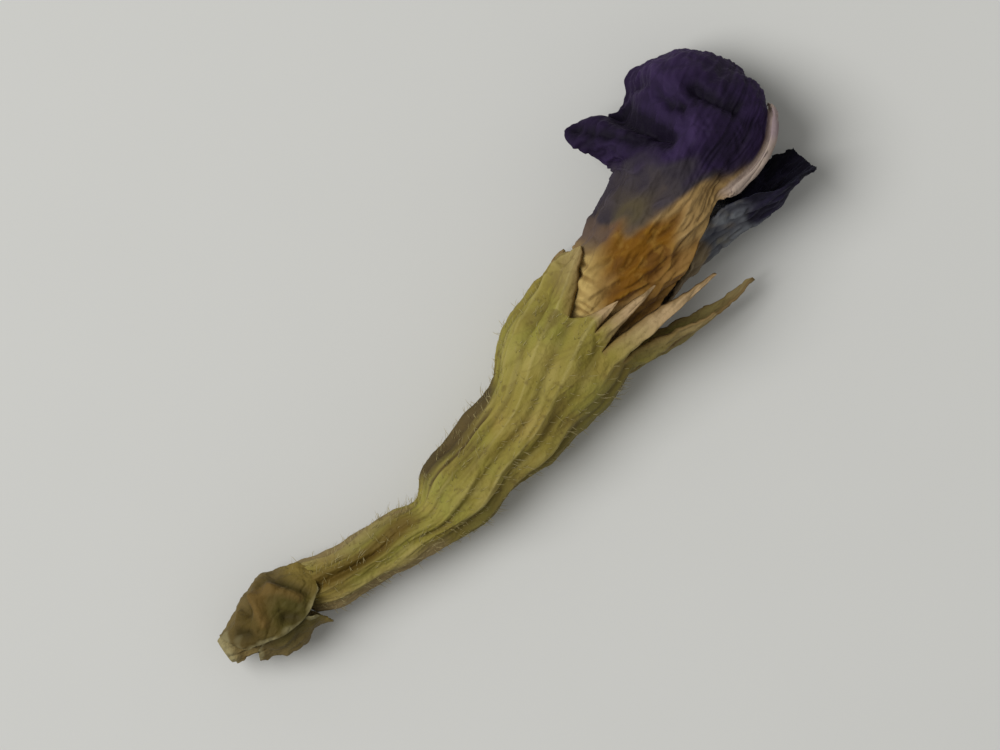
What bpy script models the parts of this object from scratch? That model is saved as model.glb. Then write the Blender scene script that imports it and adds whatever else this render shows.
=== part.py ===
"""A dried butterfly pea flower lying on its side: stalk stub, two bracteoles, ribbed calyx with five
lobes, standard, two wings, keel, stamen column and pistil. The stalk end points to -X, the petals to +X."""

import math

import bmesh
import bpy
import numpy as np

# Driving dimensions, in millimetres unless said otherwise
MM = 0.001
WELD = 0.01
BLADE = 0.6  # thickness of every petal, lobe and scale
AXIS_SHIFT = (0.32, 1.10)  # moves the middle of the flower's outline to the origin
CALYX_BASE_X = -11.75
CAVITY_BASE_X = -6.2
MOUTH_X = 3.1
CALYX_COLUMNS = 40
CALYX_ROWS = 22
CALYX_DOME = 0.25  # how far the closed end bulges past its first ring
MOUTH_WAVE = 0.28  # how far the mouth's edge runs in and out
RIBS = 10
RIB_HEIGHT = 0.20
RIB_TWIST = 0.05  # radians of twist for each millimetre of length
# The long shrinkage groove on the narrow part: x and angle in radians along it, half width in radians, depth
GROOVE_PATH = ((-11.6, 1.40), (-10.2, 1.50), (-8.9, 1.38), (-7.5, 1.26), (-6.5, 1.15))
GROOVE_HALF_WIDTH = 0.20
GROOVE_DEPTH = 0.20
GROOVE_FADE = 1.0

# The calyx seen from above: (x, upper edge y, lower edge y, middle z, half height)
CALYX_OUTLINE = (
    (-11.75, -0.55, -1.90, 1.58, 0.66),
    (-11.0, -0.40, -2.50, 1.60, 0.95),
    (-10.0, -0.82, -2.85, 1.62, 1.00),
    (-8.5, -1.32, -3.33, 1.65, 0.95),
    (-7.0, -1.56, -3.72, 1.68, 1.00),
    (-6.0, -1.95, -4.14, 1.68, 1.15),
    (-5.0, -1.46, -4.40, 1.70, 1.40),
    (-3.0, -1.22, -4.40, 1.76, 1.58),
    (-1.0, -1.02, -4.72, 1.84, 1.78),
    (1.0, 0.02, -4.85, 1.96, 2.02),
    (3.1, 0.42, -5.00, 2.18, 2.28),
)

# The five lobes: first and last column of the mouth, bend point and tip; the second is torn off the third
LOBES = (
    (-2, 8, (4.5, 0.52, 3.85), (5.4, 0.00, 4.35)),
    (11, 13, (4.6, -3.00, 5.15), (5.9, -2.95, 5.10)),
    (13, 16, (5.4, -4.30, 4.60), (8.0, -4.65, 4.35)),
    (16, 20, (4.9, -5.05, 3.35), (7.0, -5.62, 3.20)),
    (21, 25, (6.0, -5.75, 1.50), (9.0, -5.75, 1.30)),
    (31, 36, (4.2, 0.25, 0.45), (4.9, 0.42, 0.95)),
)
LOBE_ROWS = 5
LOBE_TAPER = 0.8
LOBE_TIP_WIDTH = 0.08  # share of the lobe's width at its root
LOBE_TIP_BLADE = 0.35  # thickness at the very point

# The throat of the standard as arcs: (x, middle y, middle z, half width, half height, first and last degree)
THROAT = (
    (-1.4, -2.85, 1.95, 0.50, 0.50, 145, 35),
    (0.6, -2.50, 2.02, 0.88, 0.70, 160, 20),
    (2.6, -2.30, 2.20, 1.32, 0.96, 175, 5),
    (4.3, -2.15, 2.32, 1.64, 1.42, 172, -5),
    (5.6, -1.98, 2.45, 1.94, 1.80, 152, -10),
    (7.2, -1.85, 2.55, 2.38, 2.12, 138, -12),
    (8.4, -1.82, 2.70, 2.42, 2.15, 126, -8),
)

# The crumpled limb of the standard: each row runs from the right rim over the crown to the left rim
LIMB = (
    ((9.5, -2.9, 4.35), (9.5, -2.4, 4.75), (9.5, -1.7, 5.0), (9.5, -0.8, 4.95), (9.5, 0.2, 4.5),
     (9.2, 0.9, 3.8), (8.8, 1.3, 3.0)),
    ((10.7, -2.45, 4.15), (10.7, -1.95, 4.7), (10.7, -1.1, 5.05), (10.6, 0.0, 4.9), (10.0, 1.3, 4.3),
     (8.8, 2.6, 3.6), (7.4, 4.0, 2.8)),
    ((12.0, -2.75, 3.85), (12.1, -2.1, 4.6), (12.1, -1.0, 5.1), (11.9, 0.2, 4.8), (11.4, 1.2, 4.0),
     (11.1, 1.9, 2.9), (10.7, 2.2, 1.9)),
    ((13.1, -2.4, 3.8), (13.2, -1.8, 4.45), (13.3, -0.7, 4.7), (13.1, 0.7, 4.5), (12.5, 1.9, 3.5),
     (11.8, 2.6, 1.9), (11.2, 3.0, 0.6)),
    ((13.9, -1.8, 3.6), (14.2, -1.2, 3.9), (14.3, -0.3, 3.8), (14.1, 0.8, 3.3), (13.7, 1.6, 2.3),
     (13.0, 2.2, 1.1), (12.5, 2.4, 0.5)),
    ((13.9, -1.5, 3.1), (14.3, -0.9, 2.9), (14.5, 0.0, 2.5), (14.3, 0.8, 1.9), (13.9, 1.3, 1.2),
     (13.3, 1.7, 0.7), (12.9, 1.8, 0.5)),
)
LIMB_START_X = 8.4  # the crumples grow from here outwards
LIMB_FADE = 2.5
LIMB_CRUMPLE = (0.40, 3.0, 7)  # height, spacing and seed of the facets
# The deep creases of the limb seen from above: (from x, from y, to x, to y, width, depth)
CREASES = (
    (10.2, 2.4, 10.6, 0.2, 0.42, 0.40),
    (12.9, 1.4, 13.3, -1.1, 0.38, 0.40),
    (10.6, -1.0, 12.2, -1.5, 0.45, 0.20),
    (11.5, 2.2, 11.9, 0.6, 0.35, 0.20),
)
CREASES_ABOVE_Z = 2.0
THROAT_FLUTES = 13
FLUTE_HEIGHT = 0.07
FLUTES_GROW = (3.6, 5.5)  # from x to x, where the throat leaves the calyx

# The right wing and the keel as arcs, in the same order as the throat's; the left wing mirrors the right
WING = (
    (2.2, -2.35, 2.08, 1.15, 1.12, 200, 226),
    (3.4, -2.28, 2.14, 1.32, 1.22, 196, 226),
    (5.0, -2.20, 2.20, 1.75, 1.75, 192, 230),
    (7.0, -2.05, 2.25, 1.98, 1.88, 164, 252),
    (9.0, -2.00, 2.35, 2.42, 1.84, 122, 258),
    (11.0, -1.95, 2.45, 2.92, 1.84, 124, 258),
    (12.6, -2.00, 2.50, 2.90, 1.95, 150, 250),
    (13.7, -2.15, 2.45, 2.50, 1.80, 178, 238),
)
WING_CRUMPLE = (0.14, 2.4)
WING_SEEDS = {"wing_petal_right": 3, "wing_petal_left": 5}
WING_WIDENS = (4.0, 7.0)
WING_NARROWS = (12.0, 13.5)
WING_LEFT_SCALE = 0.88  # the left wing is the shorter one
WING_LEFT_TOP = 197  # and its upper margin stays under the standard
KEEL = (
    (1.8, -2.40, 2.02, 0.98, 0.98, 257, 283),
    (3.4, -2.28, 2.12, 0.92, 0.92, 250, 290),
    (5.0, -2.20, 2.15, 0.90, 0.90, 236, 304),
    (7.0, -2.05, 2.20, 0.92, 0.92, 210, 330),
    (8.6, -2.00, 2.30, 1.00, 1.00, 198, 342),
    (9.8, -2.00, 2.40, 0.80, 0.80, 200, 340),
    (10.5, -2.00, 2.40, 0.50, 0.50, 210, 330),
)

# Round pieces: (x, y, z, radius) along each one
PEDICEL = (
    (-15.30, -0.55, 1.55, 0.42),
    (-15.00, -0.62, 1.55, 0.55),
    (-14.40, -0.98, 1.58, 0.46),
    (-13.60, -1.10, 1.62, 0.70),
    (-12.95, -1.14, 1.62, 0.78),
    (-12.35, -1.17, 1.60, 0.76),
)
COLUMN = (
    (-4.6, -2.95, 1.70, 0.30),
    (-2.0, -2.80, 1.52, 0.32),
    (0.5, -2.50, 1.62, 0.32),
    (3.0, -2.28, 2.05, 0.32),
    (6.0, -2.10, 2.20, 0.32),
    (7.9, -2.02, 2.43, 0.30),
    (8.15, -2.00, 2.47, 0.36),
    (8.45, -2.00, 2.50, 0.38),
    (8.75, -2.00, 2.53, 0.26),
)
PISTIL = (
    (9.2, -2.00, 2.62, 0.30),
    (10.6, -2.05, 2.92, 0.30),
    (11.6, -2.10, 3.00, 0.32),
    (12.2, -2.15, 2.95, 0.40),
    (12.5, -2.15, 2.92, 0.34),
)
PEDICEL_CRUMPLE = (0.05, 0.9, 11)
PEDICEL_SIDES = 12
PISTIL_SIDES = 8
COLUMN_SIDES = 36
ANTHERS = 9  # beads round the end of the stamens' tube
ANTHER_HEIGHT = 0.13
ANTHERS_GROW = (7.9, 8.2)

# The bracteoles as arcs round the calyx base, and the seed of each one's crumples
BRACTEOLES = {
    "bracteole_left": (20, (
        (-14.60, -0.80, 1.62, 1.12, 1.10, 92, -8),
        (-13.95, -0.92, 1.64, 1.20, 1.30, 110, -36),
        (-13.25, -1.02, 1.66, 1.34, 1.44, 114, -42),
        (-12.55, -1.06, 1.66, 1.46, 1.48, 114, -42),
        (-12.00, -1.12, 1.64, 1.44, 1.48, 110, -34),
        (-11.50, -1.24, 1.62, 1.44, 1.46, 92, -6),
    )),
    "bracteole_right": (21, (
        (-13.95, -1.12, 1.66, 1.14, 1.20, 238, 140),
        (-13.55, -1.18, 1.68, 1.30, 1.32, 268, 126),
        (-13.10, -1.26, 1.66, 1.38, 1.42, 278, 122),
        (-12.60, -1.32, 1.66, 1.36, 1.38, 278, 122),
        (-12.05, -1.36, 1.66, 1.34, 1.38, 264, 126),
        (-11.55, -1.38, 1.66, 1.38, 1.40, 240, 140),
    )),
}
BRACTEOLE_CRUMPLE = (0.10, 1.3)

parts = bpy.data.collections.new("butterfly_pea_flower")


def clear_scene():
    for thing in list(bpy.data.objects):
        bpy.data.objects.remove(thing, do_unlink=True)
    bpy.context.scene.collection.children.link(parts)


def finish(name, colour, roughness):
    """A plain dried-plant finish; colour is linear RGB."""
    material = bpy.data.materials.new(name)
    material.use_nodes = True
    shader = material.node_tree.nodes["Principled BSDF"]
    shader.inputs["Base Color"].default_value = (*colour, 1.0)
    shader.inputs["Roughness"].default_value = roughness
    shader.inputs["Metallic"].default_value = 0.0
    return material


def place(name, mesh, material, flower):
    """Adds a mesh in the flower's own millimetres as an object of the flower."""
    mesh.transform(((MM, 0, 0, 0), (0, MM, 0, 0), (0, 0, MM, 0), (0, 0, 0, 1)))
    mesh.name = name
    mesh.materials.clear()
    mesh.materials.append(material)
    mesh.shade_smooth()
    thing = bpy.data.objects.new(name, mesh)
    thing.parent = flower
    parts.objects.link(thing)
    return thing


def arcs(rows, count):
    """Turns arc rows (x, middle y, middle z, half width, half height, from, to) into points."""
    points = []
    for x, y, z, wide, high, first, last in rows:
        angles = np.radians(np.linspace(first, last, count))
        points.append([(x, y + wide * math.cos(a), z + high * math.sin(a)) for a in angles])
    return points


def grid_mesh(name, rows):
    """An open sheet of quads through rows of points."""
    across = len(rows[0])
    corners = [tuple(point) for row in rows for point in row]
    quads = []
    for i in range(len(rows) - 1):
        for j in range(across - 1):
            a = i * across + j
            quads.append((a, a + across, a + across + 1, a + 1))
    mesh = bpy.data.meshes.new(name)
    mesh.from_pydata(corners, [], quads)
    return mesh


def with_modifier(data, kind=None, **settings):
    """The mesh that a mesh or curve gives, after one modifier if a kind is named."""
    thing = bpy.data.objects.new("work", data)
    bpy.context.scene.collection.objects.link(thing)
    if kind:
        modifier = thing.modifiers.new(kind.lower(), kind)
        for key, value in settings.items():
            setattr(modifier, key, value)
    graph = bpy.context.evaluated_depsgraph_get()
    result = bpy.data.meshes.new_from_object(thing.evaluated_get(graph))
    bpy.data.objects.remove(thing, do_unlink=True)
    return result


def raised(mesh, height_of):
    """Moves each point along its normal by height_of(points), in millimetres."""
    points = np.array([v.co for v in mesh.vertices])
    normals = np.array([n.vector for n in mesh.vertex_normals])
    heights = height_of(points)
    for vertex, point, normal, height in zip(mesh.vertices, points, normals, heights):
        vertex.co = point + normal * height
    mesh.update()
    return mesh


def triangulated(mesh):
    """Both faces of a blade take the same triangles, so they never cross."""
    work = bmesh.new()
    work.from_mesh(mesh)
    bmesh.ops.triangulate(work, faces=work.faces)
    work.to_mesh(mesh)
    work.free()
    return mesh


def on_the_ground(mesh):
    """Flattens what would lie lower than the surface."""
    for vertex in mesh.vertices:
        vertex.co.z = max(vertex.co.z, 0.0)
    return mesh


def blade(rows, levels, relief=None):
    """A petal or scale: a smoothed cage of points, its relief, and the blade's thickness."""
    sheet = with_modifier(grid_mesh("cage", rows), "SUBSURF", levels=levels, render_levels=levels)
    if relief:
        sheet = raised(sheet, relief)
    return with_modifier(triangulated(sheet), "SOLIDIFY", thickness=BLADE, offset=0.0, use_rim=True)


def smooth_step(low, high, values):
    share = np.clip((values - low) / (high - low), 0.0, 1.0)
    return share * share * (3 - 2 * share)


def smooth_curve(stations, table, at):
    """The table's row at a station, on a smooth curve through all its rows."""
    slopes = np.gradient(table, stations, axis=0)
    i = int(np.clip(np.searchsorted(stations, at) - 1, 0, len(stations) - 2))
    span = stations[i + 1] - stations[i]
    t = (at - stations[i]) / span
    return (
        (2 * t**3 - 3 * t**2 + 1) * table[i]
        + (t**3 - 2 * t**2 + t) * span * slopes[i]
        + (3 * t**2 - 2 * t**3) * table[i + 1]
        + (t**3 - t**2) * span * slopes[i + 1]
    )


def crumple(points, height, spacing, seed, folds=5):
    """Flat facets between sharp creases: a sum of triangle waves in seeded directions."""
    random = np.random.default_rng(seed)
    total = np.zeros(len(points))
    for _ in range(folds):
        direction = random.normal(size=3)
        direction /= np.linalg.norm(direction)
        cycle = points @ direction / (spacing * random.uniform(0.75, 1.5)) + random.uniform()
        total += 4 * np.abs(cycle - np.floor(cycle) - 0.5) - 1
    return height * total / math.sqrt(folds)


def creases(points):
    """Depth of the limb's creases below its surface, from their lines seen from above."""
    depth = np.zeros(len(points))
    for x0, y0, x1, y1, width, deep in CREASES:
        line = np.array((x1 - x0, y1 - y0))
        offset = points[:, :2] - (x0, y0)
        along = np.clip(offset @ line / (line @ line), 0, 1)
        distance = np.linalg.norm(offset - along[:, None] * line, axis=1)
        depth += deep * np.exp(-((distance / width) ** 2))
    return depth * (points[:, 2] > CREASES_ABOVE_Z)


def standard_relief(points):
    """Fine flutes along the throat that give way to crumpled facets and creases on the limb."""
    _, middle_y, middle_z, *_ = THROAT[-1]
    limb = smooth_step(LIMB_START_X, LIMB_START_X + LIMB_FADE, points[:, 0])
    angle = np.arctan2(points[:, 2] - middle_z, points[:, 1] - middle_y)
    open_throat = smooth_step(*FLUTES_GROW, points[:, 0]) * (1 - limb)
    flutes = FLUTE_HEIGHT * np.cos(angle * THROAT_FLUTES) * open_throat
    return flutes + crumple(points, *LIMB_CRUMPLE) * limb - creases(points)


def wing_relief(points, seed):
    """The wings crumple only where they are wide."""
    wide = smooth_step(*WING_WIDENS, points[:, 0]) * (1 - smooth_step(*WING_NARROWS, points[:, 0]))
    return crumple(points, *WING_CRUMPLE, seed) * wide


def make_standard(flower, material):
    rows = arcs(THROAT, 7) + [list(row) for row in LIMB]
    mesh = on_the_ground(blade(rows, 2, standard_relief))
    return place("standard_petal", mesh, material, flower)


def make_wings(flower, material):
    root_x = WING[0][0]
    left = [
        (root_x + (x - root_x) * WING_LEFT_SCALE, y, z, wide, high, 540 - max(first, WING_LEFT_TOP), 540 - last)
        for x, y, z, wide, high, first, last in WING
    ]
    for name, rows in (("wing_petal_right", WING), ("wing_petal_left", left)):
        mesh = blade(arcs(rows, 3), 2, lambda points: wing_relief(points, WING_SEEDS[name]))
        place(name, on_the_ground(mesh), material, flower)


def make_keel(flower, material):
    return place("keel_petals", blade(arcs(KEEL, 5), 1), material, flower)


def make_bracteoles(flower, material):
    for name, (seed, rows) in BRACTEOLES.items():
        mesh = blade(arcs(rows, 5), 1, lambda points: crumple(points, *BRACTEOLE_CRUMPLE, seed))
        place(name, on_the_ground(mesh), material, flower)


def calyx_section(x):
    """Middle (y, z) and half sizes (y, z) of the calyx at x."""
    table = np.array(CALYX_OUTLINE)
    upper, lower, z, high = smooth_curve(table[:, 0], table[:, 1:], x)
    return (upper + lower) / 2, z, (upper - lower) / 2, high


def groove_depth(x, angle):
    stations, angles = zip(*GROOVE_PATH)
    offset = (angle - np.interp(x, stations, angles)) / GROOVE_HALF_WIDTH
    fade = 1 - smooth_step(stations[-1] - GROOVE_FADE, stations[-1] + GROOVE_FADE, x)
    return GROOVE_DEPTH * fade * math.exp(-(offset**2))


def calyx_ring(x, inner):
    """One ring of the calyx: ribbed outside, plain inside."""
    y, z, wide, high = calyx_section(x)
    ring = []
    for column in range(CALYX_COLUMNS):
        angle = 2 * math.pi * column / CALYX_COLUMNS
        if inner:
            scale_y, scale_z = wide - BLADE, high - BLADE
        else:
            rib = RIB_HEIGHT * (abs(math.cos(RIBS / 2 * (angle + RIB_TWIST * x))) - 0.5)
            rib -= groove_depth(x, angle)
            scale_y, scale_z = wide + rib, high + rib
        edge = MOUTH_WAVE * math.sin(5 * angle) * max(0.0, 1 + (x - MOUTH_X) / 2)
        ring.append(np.array((x + edge, y + scale_y * math.cos(angle), z + scale_z * math.sin(angle))))
    return ring


def lobe_row(mouth, columns, bend, tip, t):
    """The outer points of a lobe at share t of its length, as wide as what is left of it."""
    start = mouth[columns[len(columns) // 2] % CALYX_COLUMNS]
    centre = (1 - t) ** 2 * start + 2 * t * (1 - t) * np.array(bend) + t**2 * np.array(tip)
    width = (1 - t) ** LOBE_TAPER * (1 - LOBE_TIP_WIDTH) + LOBE_TIP_WIDTH
    return [centre + width * (mouth[c % CALYX_COLUMNS] - start) for c in columns]


def lobe_inner_row(mouth, inner_mouth, columns, outer_row, t):
    """The points a blade's thickness inside a lobe's outer row."""
    y, z, _, _ = calyx_section(MOUTH_X)
    points = []
    for column, point in zip(columns, outer_row):
        root = mouth[column % CALYX_COLUMNS] - inner_mouth[column % CALYX_COLUMNS]
        radial = np.array((0.0, point[1] - y, point[2] - z))
        radial *= (BLADE + (LOBE_TIP_BLADE - BLADE) * t) / np.linalg.norm(radial)
        points.append(point - (1 - t) * root - t * radial)
    return points


def calyx_wall(work, inner):
    """One wall of the calyx with its lobes: a closed end, rings up to the mouth, and the lobe rows."""
    stations = np.linspace(CAVITY_BASE_X if inner else CALYX_BASE_X, MOUTH_X, CALYX_ROWS)
    rings = [calyx_ring(x, inner) for x in stations]
    tube = [[work.verts.new(point) for point in ring] for ring in rings]
    pole = work.verts.new(sum(rings[0]) / CALYX_COLUMNS - (0 if inner else CALYX_DOME, 0, 0))
    faces = []
    for c in range(CALYX_COLUMNS):
        d = (c + 1) % CALYX_COLUMNS
        faces.append((pole, tube[0][c], tube[0][d]))
        faces += [(low[c], high[c], high[d], low[d]) for low, high in zip(tube, tube[1:])]
    mouth = calyx_ring(MOUTH_X, False)
    for first, last, bend, tip in LOBES:
        columns = list(range(first, last + 1))
        below = [tube[-1][c % CALYX_COLUMNS] for c in columns]
        for t in np.linspace(0, 1, LOBE_ROWS + 1)[1:]:
            row = lobe_row(mouth, columns, bend, tip, t)
            if inner:
                row = lobe_inner_row(mouth, rings[-1], columns, row, t)
            above = [work.verts.new(point) for point in row]
            faces += list(zip(below, above, above[1:], below[1:]))
            below = above
    return [work.faces.new(face[::-1] if inner else face) for face in faces]


def join_edges(work, outer_wall, inner_wall):
    """Closes the shell with a band of faces between the open edges of its two walls."""
    twin = {}
    for outer, inner in zip(outer_wall, inner_wall):
        for a, b in zip(outer.verts, reversed(inner.verts)):
            twin[a] = b
    for edge in [e for e in work.edges if e.is_boundary and e.verts[0] in twin]:
        a, b = edge.verts
        work.faces.new((a, b, twin[b], twin[a]))


def make_calyx(flower, material):
    """A closed shell: ribbed outer wall, plain inner wall, joined along the mouth and the lobes."""
    work = bmesh.new()
    join_edges(work, calyx_wall(work, inner=False), calyx_wall(work, inner=True))
    return place("calyx", on_the_ground(closed_mesh(work, "calyx")), material, flower)


def closed_mesh(work, name):
    """The mesh of a closed bmesh: faces outwards, all triangles."""
    bmesh.ops.recalc_face_normals(work, faces=work.faces)
    bmesh.ops.triangulate(work, faces=work.faces)
    mesh = bpy.data.meshes.new(name)
    work.to_mesh(mesh)
    work.free()
    return mesh


def welded(mesh):
    """The mesh with points that lie together made one."""
    work = bmesh.new()
    work.from_mesh(mesh)
    bmesh.ops.remove_doubles(work, verts=work.verts, dist=WELD)
    return closed_mesh(work, mesh.name)


def rod(stations, sides):
    """A round piece along (x, y, z, radius) stations: a poly curve with a round bevel and capped ends."""
    curve = bpy.data.curves.new("rod", "CURVE")
    curve.dimensions = "3D"
    curve.bevel_depth = 1.0
    curve.bevel_resolution = sides // 2 - 2
    curve.use_fill_caps = True
    spline = curve.splines.new("POLY")
    spline.points.add(len(stations) - 1)
    for point, (x, y, z, radius) in zip(spline.points, stations):
        point.co = (x, y, z, 1.0)
        point.radius = radius
    return welded(with_modifier(curve))


def eased(stations, steps):
    """The stations with points between them on a smooth curve."""
    table = np.array(stations)
    order = np.arange(len(table))
    return [smooth_curve(order, table, at) for at in np.linspace(0, order[-1], order[-1] * steps + 1)]


def make_pedicel(flower, material):
    stub = rod(eased(PEDICEL, 2), PEDICEL_SIDES)
    stub = raised(stub, lambda points: crumple(points, *PEDICEL_CRUMPLE))
    return place("pedicel", stub, material, flower)


def make_pistil(flower, material):
    return place("pistil", rod(eased(PISTIL, 2), PISTIL_SIDES), material, flower)


def anther_relief(points):
    """Beads in a ring round the end of the stamens' tube."""
    _, middle_y, middle_z, _ = COLUMN[-1]
    angle = np.arctan2(points[:, 2] - middle_z, points[:, 1] - middle_y)
    return ANTHER_HEIGHT * np.cos(ANTHERS * angle) * smooth_step(*ANTHERS_GROW, points[:, 0])


def make_stamens(flower, material):
    """The tube of the grown-together stamens, with its anthers."""
    tube = raised(rod(COLUMN, COLUMN_SIDES), anther_relief)
    return place("stamen_column", tube, material, flower)


def main():
    clear_scene()
    flower = bpy.data.objects.new("flower", None)
    flower.location = (AXIS_SHIFT[0] * MM, AXIS_SHIFT[1] * MM, 0.0)
    parts.objects.link(flower)
    stalk = finish("dried_stalk", (0.21, 0.15, 0.05), 0.75)
    husk = finish("dried_husk", (0.24, 0.20, 0.04), 0.7)
    violet = finish("violet_petal", (0.020, 0.010, 0.036), 0.65)
    pale = finish("pale_petal", (0.38, 0.32, 0.17), 0.6)
    make_pedicel(flower, stalk)
    make_bracteoles(flower, stalk)
    make_calyx(flower, husk)
    make_standard(flower, violet)
    make_wings(flower, violet)
    make_keel(flower, pale)
    make_stamens(flower, pale)
    make_pistil(flower, pale)


main()
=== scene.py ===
# Dried butterfly pea flower lying on its side: papery calyx, fluted throat, crumpled violet petal.
# Shapes are drawn in millimetres on the flower's own plan and turned to metres in addPiece.
import math

import bpy
import numpy as np
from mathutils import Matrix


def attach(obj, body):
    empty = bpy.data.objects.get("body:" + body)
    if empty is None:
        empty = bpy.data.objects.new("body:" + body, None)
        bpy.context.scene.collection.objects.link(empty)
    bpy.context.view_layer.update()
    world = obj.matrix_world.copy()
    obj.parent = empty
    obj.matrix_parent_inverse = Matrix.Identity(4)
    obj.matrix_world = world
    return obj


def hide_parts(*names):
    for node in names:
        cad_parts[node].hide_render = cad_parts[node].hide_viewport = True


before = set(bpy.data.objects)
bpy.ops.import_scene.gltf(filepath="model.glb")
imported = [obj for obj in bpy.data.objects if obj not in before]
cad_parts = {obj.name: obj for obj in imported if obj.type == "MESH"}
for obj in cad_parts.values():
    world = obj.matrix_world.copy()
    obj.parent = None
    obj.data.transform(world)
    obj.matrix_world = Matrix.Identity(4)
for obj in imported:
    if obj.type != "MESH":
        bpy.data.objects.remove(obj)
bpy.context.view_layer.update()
planShift = np.array((0.32, 1.10, 0.0))  # from the plan's origin to the frame's
print("frame loaded:", len(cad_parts), "solids")


# Colours and materials

def linear(code):
    channels = [int(code[i:i + 2], 16) / 255 for i in (0, 2, 4)]
    return (*[c / 12.92 if c <= 0.04045 else ((c + 0.055) / 1.055) ** 2.4 for c in channels], 1.0)


def addNode(tree, kind, sockets=None, **settings):
    made = tree.nodes.new("ShaderNode" + kind)
    for key, value in settings.items():
        setattr(made, key, value)
    for key, value in (sockets or {}).items():
        if isinstance(value, bpy.types.NodeSocket):
            tree.links.new(value, made.inputs[key])
        else:
            made.inputs[key].default_value = value
    return made


def mottle(tree, sizeMm, low, high, detail=3.0, stretch=(1, 1, 1)):
    # 0 to 1 patches of about sizeMm; low and high set how hard their edges are
    place = addNode(tree, "TexCoord").outputs["Object"]
    place = addNode(tree, "Mapping", {"Vector": place, "Scale": stretch}).outputs["Vector"]
    noise = addNode(tree, "TexNoise", {"Vector": place, "Scale": 1000 / sizeMm, "Detail": detail})
    patches = {"Value": noise.outputs["Fac"], "From Min": low, "From Max": high}
    return addNode(tree, "MapRange", patches).outputs[0]


def veinNet(tree, meshMm, lineShare, stretch=(1, 1, 1)):
    # thin lines round cells of about meshMm, 1 on a line
    place = addNode(tree, "TexCoord").outputs["Object"]
    place = addNode(tree, "Mapping", {"Vector": place, "Scale": stretch}).outputs["Vector"]
    sockets = {"Vector": place, "Scale": 1000 / meshMm}
    cells = addNode(tree, "TexVoronoi", sockets, feature="DISTANCE_TO_EDGE").outputs["Distance"]
    lines = {"Value": cells, "From Max": lineShare, "To Min": 1.0, "To Max": 0.0}
    return addNode(tree, "MapRange", lines).outputs[0]


def painted(tree, name, low=0.0, high=1.0, top=1.0):
    # a mask stored on the mesh: 0 at its value low, and top at its value high
    mask = addNode(tree, "Attribute", attribute_name=name).outputs["Fac"]
    spread = {"Value": mask, "From Min": low, "From Max": high, "To Max": top}
    return addNode(tree, "MapRange", spread).outputs[0]


def layers(tree, base, coats):
    # each coat (colour, mask, ...) lies over those before it, where all its masks say so;
    # 0, 6 and 7 are Mix's factor and colour sockets
    colour = linear(base)
    for code, cover, *more in coats:
        for mask in more:
            cover = addNode(tree, "Math", {0: cover, 1: mask}, operation="MULTIPLY").outputs[0]
        colour = addNode(tree, "Mix", {0: cover, 6: colour, 7: linear(code)}, data_type="RGBA").outputs[2]
    return colour


def makeMaterial(name, paint, grain, roughness=0.7, gloss=0.5, sheen=0.0, sheenTint="ffffff", net=None):
    # grain is a list of (size, height) bumps in mm; net is (mesh, height, stretch) of raised veins;
    # the skin's cells are about 0.04 mm, and drawn 0.10 to 0.15 mm so that they show
    material = bpy.data.materials.new(name)
    material.use_nodes = True
    tree = material.node_tree
    shader = tree.nodes["Principled BSDF"]
    shader.inputs["Roughness"].default_value = roughness
    shader.inputs["Sheen Weight"].default_value = sheen
    shader.inputs["Sheen Tint"].default_value = linear(sheenTint)
    shader.inputs["Sheen Roughness"].default_value = 0.5
    shader.inputs["IOR"].default_value = 1.45  # the waxy skin of plants
    shader.inputs["Specular IOR Level"].default_value = gloss  # dry tissue scatters most of its shine away
    tree.links.new(paint(tree), shader.inputs["Base Color"])
    normal = None
    heights = [(mottle(tree, sizeMm, 0.3, 0.7), heightMm) for sizeMm, heightMm in grain]
    if net:
        meshMm, heightMm, stretch = net
        heights.append((veinNet(tree, meshMm, 0.10, stretch), heightMm))
    for height, heightMm in heights:
        sockets = {"Height": height, "Distance": heightMm * 0.001}
        if normal:
            sockets["Normal"] = normal
        normal = addNode(tree, "Bump", sockets).outputs[0]
    if normal:
        tree.links.new(normal, shader.inputs["Normal"])
    return material


# Shape tools

def smoothStep(low, high, values):
    share = np.clip((values - low) / (high - low), 0.0, 1.0)
    return share * share * (3 - 2 * share)


def bump(values, middle, width):
    return np.exp(-(((values - middle) / width) ** 2))


def unit(vectors):
    return vectors / np.maximum(np.linalg.norm(vectors, axis=-1, keepdims=True), 1e-9)


def smoothCurve(stations, table, at):
    # rows of the table at the stations in at, on a smooth curve through all rows
    table = np.asarray(table, float)
    stations = np.asarray(stations, float)
    slopes = np.gradient(table, stations, axis=0)
    i = np.clip(np.searchsorted(stations, at) - 1, 0, len(stations) - 2)
    span = (stations[i + 1] - stations[i])[..., None]
    t = (np.asarray(at) - stations[i])[..., None] / span
    start = (2 * t**3 - 3 * t**2 + 1) * table[i] + (t**3 - 2 * t**2 + t) * span * slopes[i]
    return start + (3 * t**2 - 2 * t**3) * table[i + 1] + (t**3 - t**2) * span * slopes[i + 1]


def splineWeights(count, at):
    # weights of count cage points at the places in at, for a cubic spline that ends on the last ones
    cell = np.clip(at.astype(int), 0, count - 2)
    t = at - cell
    basis = np.array(((1 - t) ** 3, 3 * t**3 - 6 * t**2 + 4, -3 * t**3 + 3 * t**2 + 3 * t + 1, t**3)) / 6
    weights = np.zeros((len(at), count + 2))
    for k in range(4):
        weights[np.arange(len(at)), cell + k] += basis[k]
    weights[:, 1] += 2 * weights[:, 0]
    weights[:, 2] -= weights[:, 0]
    weights[:, -2] += 2 * weights[:, -1]
    weights[:, -3] -= weights[:, -1]
    return weights[:, 1:-1]


def smoothSheet(cage, rowsAt, columnsAt):
    cage = np.array(cage, float)
    down = splineWeights(cage.shape[0], rowsAt)
    over = splineWeights(cage.shape[1], columnsAt)
    return np.einsum("ri,ijk,cj->rck", down, cage, over)


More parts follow.
